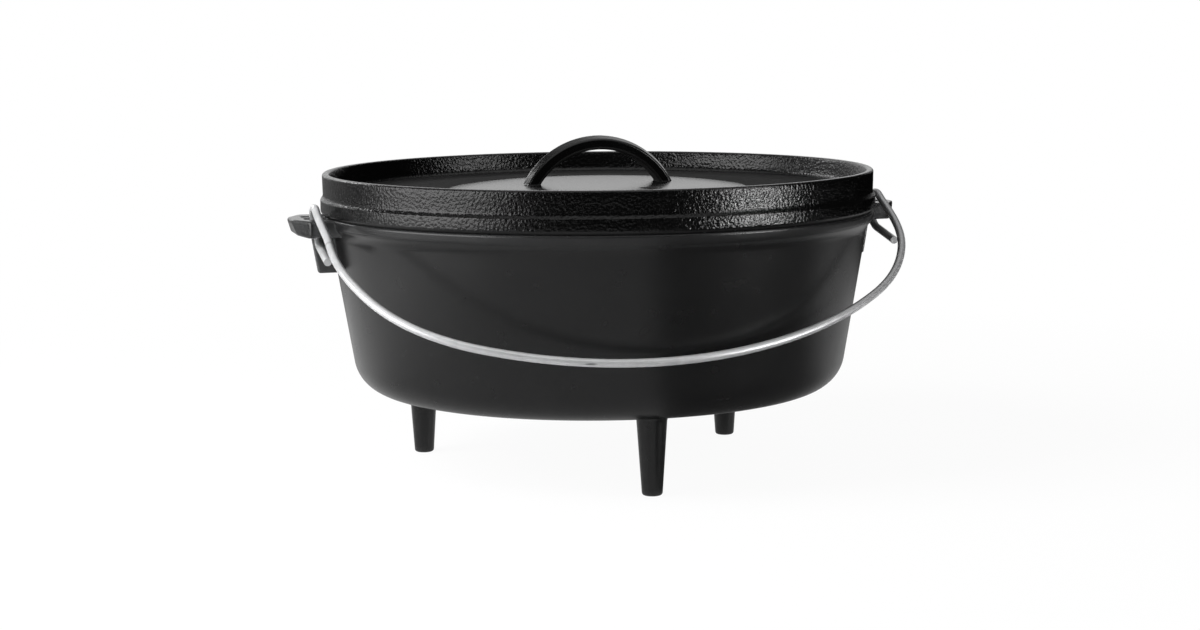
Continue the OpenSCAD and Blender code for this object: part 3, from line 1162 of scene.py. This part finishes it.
@dataclass
class WireBail:
    """The bail, one wire bent to two eyes and a bow; lengths in millimetres."""

    wire_r: float = 2.25
    eye_r: float = 10.7477
    tail_len: float = 29.0
    tail_turn: float = 17.0
    arm_x: float = 168.85
    bow_reach: float = 153.752
    bow_corner_r: float = 111.5
    bow_flatness: float = 51.0
    bow_shift: float = -14.2
    rest_angle: float = 28.0
    left_lean: float = 2.7
    left_lift: float = 0.8
    right_lean: float = -2.2
    right_cut: float = 2.0
    nick_off: float = -32.0
    nick_half: float = 3.6
    nick_t: float = 0.55
    nick_side: tuple[float, float, float] = (0, -2.0, -0.4)
    small_nick_drop: float = 6.0
    small_nick_r: float = 1.2
    end_round: float = 1.0
    end_share: float = 0.55
    eye_steps: int = 60
    sides: int = 48
    step: float = 1.2

    def __post_init__(self) -> None:
        """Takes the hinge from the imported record."""
        swing = next(j for j in frame["joints"] if j["name"] == "bail_swing")
        self.hinge = np.array(swing["pos_m"]) / MM

    def arc(self, middle: tuple[float, float], radius: float, start: float,
            stop: float) -> np.ndarray:
        """Gives points of an arc in the bow's plane.

        Args:
            middle: Middle of the arc.
            radius: Radius of the arc.
            start: First angle, in radians.
            stop: Last angle, in radians.

        Returns:
            Points across and along the bail.
        """
        count = max(6, int(abs(stop - start) * radius / self.step))
        angles = np.linspace(start, stop, count)
        return np.column_stack([
            middle[0] + radius * np.cos(angles), middle[1] + radius * np.sin(angles)])

    def eye(self, side: int, length: float) -> np.ndarray:
        """Gives one arm from the tip of its tail to the end of its straight.

        Args:
            side: 1 for the right-hand arm, -1 for the left-hand one.
            length: Length of the straight.

        Returns:
            Points in the bail's own frame.
        """
        stop = math.radians(180 + self.tail_turn)
        angles = np.linspace(stop, 0, self.eye_steps)
        loop = np.stack([-self.eye_r * np.sin(angles), -self.eye_r * np.cos(angles)], 1)
        heading = np.array([-math.cos(stop), math.sin(stop)])
        reach = self.tail_len - (self.right_cut if side > 0 else 0)
        count = int(reach / self.step)
        tail = loop[0] + heading * np.linspace(reach, 0, count, endpoint=False)[:, None]
        count = max(2, int(length / self.step))
        straight = np.stack([np.linspace(0, length, count, endpoint=False)[1:],
                             np.full(count - 1, -self.eye_r)], 1)
        flat = np.vstack([tail, loop, straight])
        return np.column_stack([np.full(len(flat), side * self.arm_x), flat])

    def path(self) -> np.ndarray:
        """Gives the wire's middle line from tail to tail.

        Returns:
            Points in the object's frame.
        """
        bow_r = self.arm_x + self.bow_flatness
        bow_y = self.bow_reach - bow_r
        span = bow_r - self.bow_corner_r
        bends = {}
        for side in (-1, 1):
            x = side * (self.arm_x - self.bow_corner_r)
            y = bow_y + math.sqrt(span * span - (x - self.bow_shift) ** 2)
            bends[side] = (x, y, math.atan2(y - bow_y, x - self.bow_shift))
        left, right = bends[-1], bends[1]
        flat = np.vstack([
            self.arc(left[:2], self.bow_corner_r, math.pi, left[2])[:-1],
            self.arc((self.bow_shift, bow_y), bow_r, left[2], right[2]),
            self.arc(right[:2], self.bow_corner_r, right[2], 0)[1:],
        ])
        bow = np.column_stack([flat, np.full(len(flat), -self.eye_r)])
        wire = np.vstack([self.eye(-1, left[1]), bow, self.eye(1, right[1])[::-1]])
        turn = np.array(Matrix.Rotation(math.radians(180 + self.rest_angle), 3, "X"))
        return self.bent(wire @ turn.T + self.hinge)

    def bent(self, wire: np.ndarray) -> np.ndarray:
        """Bends the arms by hand: both eyes lean in, the left one below and the right one above.

        Args:
            wire: Points of the wire in the object's frame.

        Returns:
            The bent points.
        """
        out = wire.copy()
        drop = self.hinge[2] - wire[:, 2]
        left = wire[:, 0] < 0
        low = smooth_step(drop, -10, 6) * (1 - smooth_step(drop, 22, 48))
        out[:, 0] += np.where(left, self.left_lean * low, 0)
        out[:, 2] += np.where(left, self.left_lift * np.clip(-drop / self.eye_r, 0, 1), 0)
        high = 1 - smooth_step(drop, -8, 16)
        out[:, 0] += np.where(left, 0, self.right_lean * high)
        return out

    def nicks(self, path: np.ndarray, at: np.ndarray) -> np.ndarray:
        """Gives the two dark nicks: a long one on the bow and a small one at the left.

        Args:
            path: Points of the wire's middle line.
            at: Points of the wire's surface.

        Returns:
            A share from 0 to 1 for each surface point.
        """
        lowest = path[np.argmin(path[:, 2])]
        low = path[:, 2] < lowest[2] + 25
        long = path[low][np.argmin(np.abs(path[low, 0] - lowest[0] - self.nick_off))]
        away = (at - long - self.nick_side) / [self.nick_half, self.nick_t, self.nick_t]
        far = np.abs(path[:, 2] - self.hinge[2] + self.small_nick_drop)
        far[path[:, 0] >= 0] = math.inf
        far[:len(self.eye(-1, 0))] = math.inf
        small = np.linalg.norm(at - path[np.argmin(far)], axis=1) - self.small_nick_r
        near = np.minimum(np.linalg.norm(away, axis=1), small)
        return 1 - smooth_step(near, 0.6, 1.6)

    def build(self, finish: ZincWire) -> None:
        """Builds and dresses the bail.

        Args:
            finish: Finish of the wire.
        """
        path = self.path()
        run = np.concatenate([[0], np.cumsum(np.linalg.norm(np.diff(path, axis=0), axis=1))])
        from_end = np.minimum(run, run[-1] - run)
        soft = np.clip(from_end / self.end_round, 0, 1)
        taper = self.end_share + (1 - self.end_share) * np.sqrt(1 - (1 - soft) ** 2)
        sweep = Sweep("bail_wire_sweep")
        for name in ("Wire Radius", "Tilt"):
            sweep.size(name)
        sweep.size("Sides", "NodeSocketInt")
        sweep.size("Finish", "NodeSocketMaterial")
        sweep.along(round_section)
        material = finish.material()
        mesh = sweep.run("bail_wire", path, taper, {
            "Wire Radius": self.wire_r * MM, "Tilt": 0.0, "Sides": self.sides,
            "Finish": material})
        paint(mesh, "nick", self.nicks(path, points_of(mesh)))
        hand_over("bail_wire", mesh, material, Body.BAIL, Slot.BAIL_WIRE, "bail")


# The studio


@dataclass(frozen=True)
class Softbox:
    """A lamp's bright face, beside the object; lengths in metres.

    Its turn is in degrees from the camera, and a mirrored one shows in reflections.
    """

    name: str
    turn: float
    wide: float
    tall: float
    middle: float
    level: float
    mirrored: bool = True


LAMPS = (
    Softbox("softbox_left", turn=-66.0, wide=1.30, tall=0.95, middle=0.30, level=3.5),
    Softbox("softbox_right", turn=63.0, wide=0.50, tall=0.22, middle=0.05, level=17.0),
    Softbox("softbox_high", turn=62.0, wide=0.50, tall=0.45, middle=0.62, level=4.0),
    Softbox("rim_light", turn=-137.0, wide=0.46, tall=0.24, middle=0.70, level=5.0),
    Softbox("key_light", turn=-65.0, wide=0.90, tall=0.90, middle=1.10, level=15.0,
            mirrored=False),
)
WHITE = (1.0, 1.0, 1.0, 1.0)
# The floor's rings and its thickness, in millimetres
FLOOR_RINGS = (400.0, 1200.0, 4000.0, 9000.0)
FLOOR_T = 20.0
FLOOR_SEGMENTS = 96


@dataclass
class Studio:
    """Camera, lamps, floor and world; lengths in metres.

    An edge gives where a share is 0 and where it is 1.
    """

    eye: tuple[float, float, float] = (-0.3629, -1.3566, 0.2725)
    target: tuple[float, float, float] = (0.0006, -0.0002, 0.0860)
    roll: float = -0.512
    lens: float = 72.2
    sensor: float = 36.0
    sight: float = 60.0
    box_far: float = 1.25
    box_aim: tuple[float, float, float] = (0, 0, 0.12)
    fill: float = 0.2
    room: float = 0.006
    floor_tone: float = 0.8
    floor_white: float = 0.95
    floor_near: float = 0.35
    floor_far: float = 0.75
    sheen_left: float = 0.88
    sheen_front: float = 0.45
    sheen_right: float = 0.10
    sheen_back: Edge = (0.46, 0.7)
    sheen_behind: float = 0.2
    front_edge: Edge = (0.42, 0.27)
    left_edge: Edge = (-0.24, -0.50)
    back_edge: Edge = (0.3, -0.3)
    behind_edge: Edge = (-0.05, 0.12)
    reach_edge: Edge = (-0.2, -0.5)
    reach_near: Edge = (0.5, 0.65)
    reach_far: Edge = (0.9, 1.1)
    distant_edge: Edge = (0.3, 0.8)
    corner_edge: Edge = (-0.1, -0.5)
    backdrop: float = 0.85
    backdrop_turn: float = 7.0
    backdrop_edge: Edge = (0.87, 0.975)
    backdrop_top: Edge = (0.75, 0.5)
    wing: float = 0.25
    wing_turn: float = 50.0
    wing_edge: Edge = (0.75, 0.95)
    overhead: float = 0.6
    overhead_edge: Edge = (0.6, 0.9)

    def __post_init__(self) -> None:
        """Finds the level directions to the right of the object and behind it."""
        self.right = Vector((-self.eye[1], self.eye[0], 0)).normalized()
        self.behind = Vector((-self.eye[0], -self.eye[1], 0)).normalized()

    def camera(self) -> None:
        """Places the camera where the photograph was taken from."""
        data = bpy.data.cameras.new("camera")
        data.lens = self.lens
        data.sensor_width = self.sensor
        data.sensor_fit = "HORIZONTAL"
        data.clip_end = self.sight
        obj = bpy.data.objects.new("camera", data)
        bpy.context.scene.collection.objects.link(obj)
        aim = (Vector(self.target) - Vector(self.eye)).to_track_quat("-Z", "Y")
        obj.matrix_world = (Matrix.Translation(self.eye) @ aim.to_matrix().to_4x4()
                            @ Matrix.Rotation(math.radians(self.roll), 4, "Z"))
        bpy.context.scene.camera = obj

    def softbox(self, box: Softbox) -> None:
        """Stands a softbox beside the object.

        Args:
            box: Its size, place and brightness.
        """
        data = bpy.data.lights.new(box.name, "AREA")
        data.shape = "RECTANGLE"
        data.size, data.size_y = box.wide, box.tall
        data.energy = box.level * math.pi * box.wide * box.tall
        obj = bpy.data.objects.new(box.name, data)
        bpy.context.scene.collection.objects.link(obj)
        view = math.atan2(self.eye[1], self.eye[0]) + math.radians(box.turn)
        place = Vector((self.box_far * math.cos(view), self.box_far * math.sin(view), box.middle))
        obj.location = place
        obj.rotation_euler = (Vector(self.box_aim) - place).to_track_quat("-Z", "Y").to_euler()
        obj.visible_camera = False
        obj.visible_glossy = box.mirrored

    def floor(self) -> None:
        """Lays a pale floor that keeps the object's shadow and fades into the backdrop."""
        rings = [(r, 0.0) for r in FLOOR_RINGS]
        section = [(0.0, 0.0), *rings, (rings[-1][0], -FLOOR_T), (0.0, -FLOOR_T)]
        mesh = revolved("floor", section, FLOOR_SEGMENTS)
        obj = new_object("floor", mesh)
        material, tree = new_material("studio_floor")
        place = tree.add("ShaderNodeTexCoord").outputs["Object"]
        away = tree.add("ShaderNodeVectorMath", {0: place}, operation="LENGTH").outputs["Value"]
        fade = tree.add(
            "ShaderNodeMapRange",
            {"Value": away, "From Min": self.floor_near, "From Max": self.floor_far,
             "To Min": self.floor_white, "To Max": 1.0}).outputs["Result"]
        path = tree.add("ShaderNodeLightPath")
        tone = (self.floor_tone,) * 3 + (1.0,)
        paper = tree.add("ShaderNodeBsdfDiffuse", {"Color": tone})
        white = tree.add("ShaderNodeEmission", {"Color": WHITE, "Strength": 1.0})
        shown = tree.add(
            "ShaderNodeMixShader",
            {0: tree.math("MULTIPLY", path.outputs["Is Camera Ray"], fade),
             1: paper.outputs[0], 2: white.outputs[0]})
        sheen = tree.add(
            "ShaderNodeEmission", {"Color": WHITE, "Strength": self.sheen(tree, place, away)})
        mixed = tree.add(
            "ShaderNodeMixShader",
            {0: path.outputs["Is Glossy Ray"], 1: shown.outputs[0], 2: sheen.outputs[0]})
        tree.add("ShaderNodeOutputMaterial", {"Surface": mixed.outputs[0]})
        mesh.materials.append(material)

    def sheen(self, tree: Tree, place: bpy.types.NodeSocket,
              away: bpy.types.NodeSocket) -> bpy.types.NodeSocket:
        """Adds the floor's brightness in reflections: lighter to the left, dark far out.

        Args:
            tree: Tree to fill.
            place: Place on the floor.
            away: Distance from the middle.

        Returns:
            The brightness socket.
        """
        heading = tree.add("ShaderNodeVectorMath", {0: place}, operation="NORMALIZE").outputs[0]
        across = self.share(tree, heading, self.right, self.front_edge)
        side = tree.between(across, self.sheen_right, self.sheen_front)
        far_left = self.share(tree, place, self.right, self.left_edge)
        side = tree.between(far_left, side, self.sheen_left)
        back = tree.between(self.share(tree, place, self.right, self.back_edge), *self.sheen_back)
        side = tree.between(self.share(tree, place, self.behind, self.behind_edge), side, back)
        leftward = self.share(tree, place, self.right, self.reach_edge)
        near = tree.add(
            "ShaderNodeMapRange",
            {"Value": away, "From Min": tree.between(leftward, *self.reach_near),
             "From Max": tree.between(leftward, *self.reach_far), "To Min": 1.0,
             "To Max": 0.0}).outputs["Result"]
        far = tree.math("MULTIPLY", self.share(tree, place, self.behind, self.distant_edge),
                        self.share(tree, place, self.right, self.corner_edge))
        return tree.math("MAXIMUM", tree.math("MULTIPLY", side, near),
                         tree.math("MULTIPLY", far, self.sheen_behind))

    def share(self, tree: Tree, place: bpy.types.NodeSocket, way: Vector,
              edge: Edge) -> bpy.types.NodeSocket:
        """Adds a share that rises from 0 to 1 along a direction.

        Args:
            tree: Tree to fill.
            place: Place or direction to measure.
            way: Unit vector to measure along.
            edge: Where the share is 0 and where it is 1.

        Returns:
            The share's socket.
        """
        reach = tree.add(
            "ShaderNodeVectorMath", {0: place, 1: tuple(way)},
            operation="DOT_PRODUCT").outputs["Value"]
        return tree.add(
            "ShaderNodeMapRange", {"Value": reach, "From Min": edge[0], "From Max": edge[1]},
            interpolation_type="SMOOTHSTEP").outputs["Result"]

    def turned(self, degrees: float) -> Vector:
        """Direction behind the object, turned to the left by some degrees."""
        return Matrix.Rotation(math.radians(degrees), 3, "Z") @ self.behind

    def mirrored_room(self, tree: Tree) -> bpy.types.NodeSocket:
        """Adds the room's brightness in reflections: a backdrop, its wing and a soft overhead.

        Args:
            tree: Tree to fill.

        Returns:
            The brightness socket.
        """
        up = Vector((0, 0, 1))
        way = tree.add("ShaderNodeTexCoord").outputs["Generated"]
        level_way = tree.add(
            "ShaderNodeVectorMath", {0: way, 1: (1, 1, 0)}, operation="MULTIPLY").outputs[0]
        compass = tree.add(
            "ShaderNodeVectorMath", {0: level_way}, operation="NORMALIZE").outputs[0]
        middle = self.share(tree, compass, self.turned(self.backdrop_turn), self.backdrop_edge)
        beside = self.share(tree, way, self.turned(self.wing_turn), self.wing_edge)
        paper = tree.math("MAXIMUM", tree.math("MULTIPLY", middle, self.backdrop),
                          tree.math("MULTIPLY", beside, self.wing))
        paper = tree.math("MULTIPLY", self.share(tree, way, up, self.backdrop_top), paper)
        above = tree.math(
            "MULTIPLY", self.share(tree, way, up, self.overhead_edge), self.overhead)
        return tree.math("ADD", tree.math("MAXIMUM", paper, above), self.room)

    def world(self) -> None:
        """Makes the world white to the camera, with a white backdrop behind the object."""
        world = bpy.data.worlds.new("studio")
        world.use_nodes = True
        world.node_tree.nodes.clear()
        tree = Tree(world.node_tree)
        path = tree.add("ShaderNodeLightPath").outputs
        glossy = tree.add(
            "ShaderNodeMix",
            {0: path["Is Glossy Ray"], 2: self.fill, 3: self.mirrored_room(tree)},
            data_type="FLOAT").outputs[0]
        plain = tree.math("MAXIMUM", path["Is Camera Ray"], path["Is Transmission Ray"])
        level = tree.add(
            "ShaderNodeMix", {0: plain, 2: glossy, 3: 1.0}, data_type="FLOAT").outputs[0]
        ground = tree.add("ShaderNodeBackground", {"Color": WHITE, "Strength": level})
        tree.add("ShaderNodeOutputWorld", {"Surface": ground.outputs[0]})
        bpy.context.scene.world = world

    def build(self) -> None:
        """Sets up the whole studio."""
        self.camera()
        for lamp in LAMPS:
            self.softbox(lamp)
        self.floor()
        self.world()
        bpy.context.scene.view_settings.view_transform = "Standard"


def main() -> None:
    """Builds the studio and the object."""
    logging.basicConfig(level=logging.INFO, format="%(name)s: %(message)s")
    Studio().build()
    wall = SeasonedIron("seasoned_wall", dark=0.003, light=0.006, smooth=0.22, rough=0.30)
    cast = SeasonedIron(
        "seasoned_cast", dark=0.0006, light=0.0018, smooth=0.16, rough=0.24, grain_size=1.5,
        grain_height=0.40, wave_size=9.0, wave_height=0.08)
    PotCasting().build(wall, cast)
    LidCasting().build(cast)
    WireBail().build(ZincWire("zinc_wire"))


if __name__ == "__main__":
    main()
